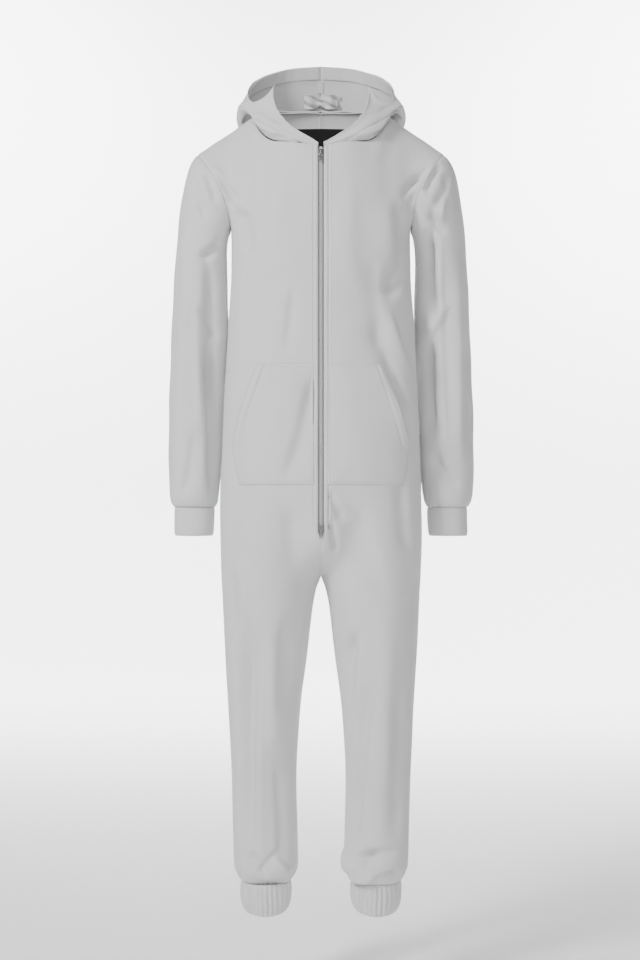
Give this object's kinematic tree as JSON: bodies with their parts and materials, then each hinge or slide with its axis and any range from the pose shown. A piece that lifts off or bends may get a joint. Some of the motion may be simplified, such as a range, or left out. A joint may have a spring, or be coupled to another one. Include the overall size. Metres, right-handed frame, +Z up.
{
  "type": "hooded onesie pajama",
  "caption": "Hooded one-piece velour pajama, hanging hollow as worn, with a two-way front zip, kangaroo pocket halves, plain wrist cuffs and elastic ankle cuffs.",
  "frame": {"origin": "the middle of the shoulder line at the base of the neck, where the wearer's shoulders carry the garment", "axes": "+Z up along the standing garment, -Y to the zip at the front, +X to the wearer's left"},
  "size_m": [0.585, 0.3191, 1.6406],
  "materials": {
    "velour": "light grey brushed velour with a short soft nap",
    "band_velour": "the same light grey velour, plain at the wrists and gathered on elastic at the ankles",
    "dark_jersey": "black smooth jersey",
    "zip_tape": "light grey woven tape",
    "zip_teeth": "mid grey coil teeth",
    "steel": "small bright nickel-plated sliders and tabs"
  },
  "bodies": {
    "garment": {"front_left": "velour", "front_right": "velour", "back_left": "velour", "back_right": "velour", "sleeve_left": "velour", "sleeve_right": "velour", "hood_left": "velour", "hood_right": "velour", "pocket_left": "velour", "pocket_right": "velour", "cuff_left": "band_velour", "cuff_right": "band_velour", "ankle_cuff_left": "band_velour", "ankle_cuff_right": "band_velour", "hood_band_left": "velour", "hood_band_right": "velour", "hood_patch": "velour", "neck_facing": "dark_jersey", "zip_tape_left": "zip_tape", "zip_tape_right": "zip_tape", "zip_chain": "zip_teeth", "slider_top": "steel", "slider_foot": "steel"},
    "pull_top": {"pull_top": "steel"},
    "pull_foot": {"pull_foot": "steel"}
  },
  "joints": [
    {"name": "pull_top_hinge", "type": "hinge", "parent": "garment", "child": "pull_top", "pos_m": [0, -0.10912, -0.05542], "axis": [-1, 0, 0], "range_deg": [0, 150]},
    {"name": "pull_foot_hinge", "type": "hinge", "parent": "garment", "child": "pull_foot", "pos_m": [0, -0.12037, -0.74334], "axis": [-1, 0, 0], "range_deg": [0, 150]}
  ]
}
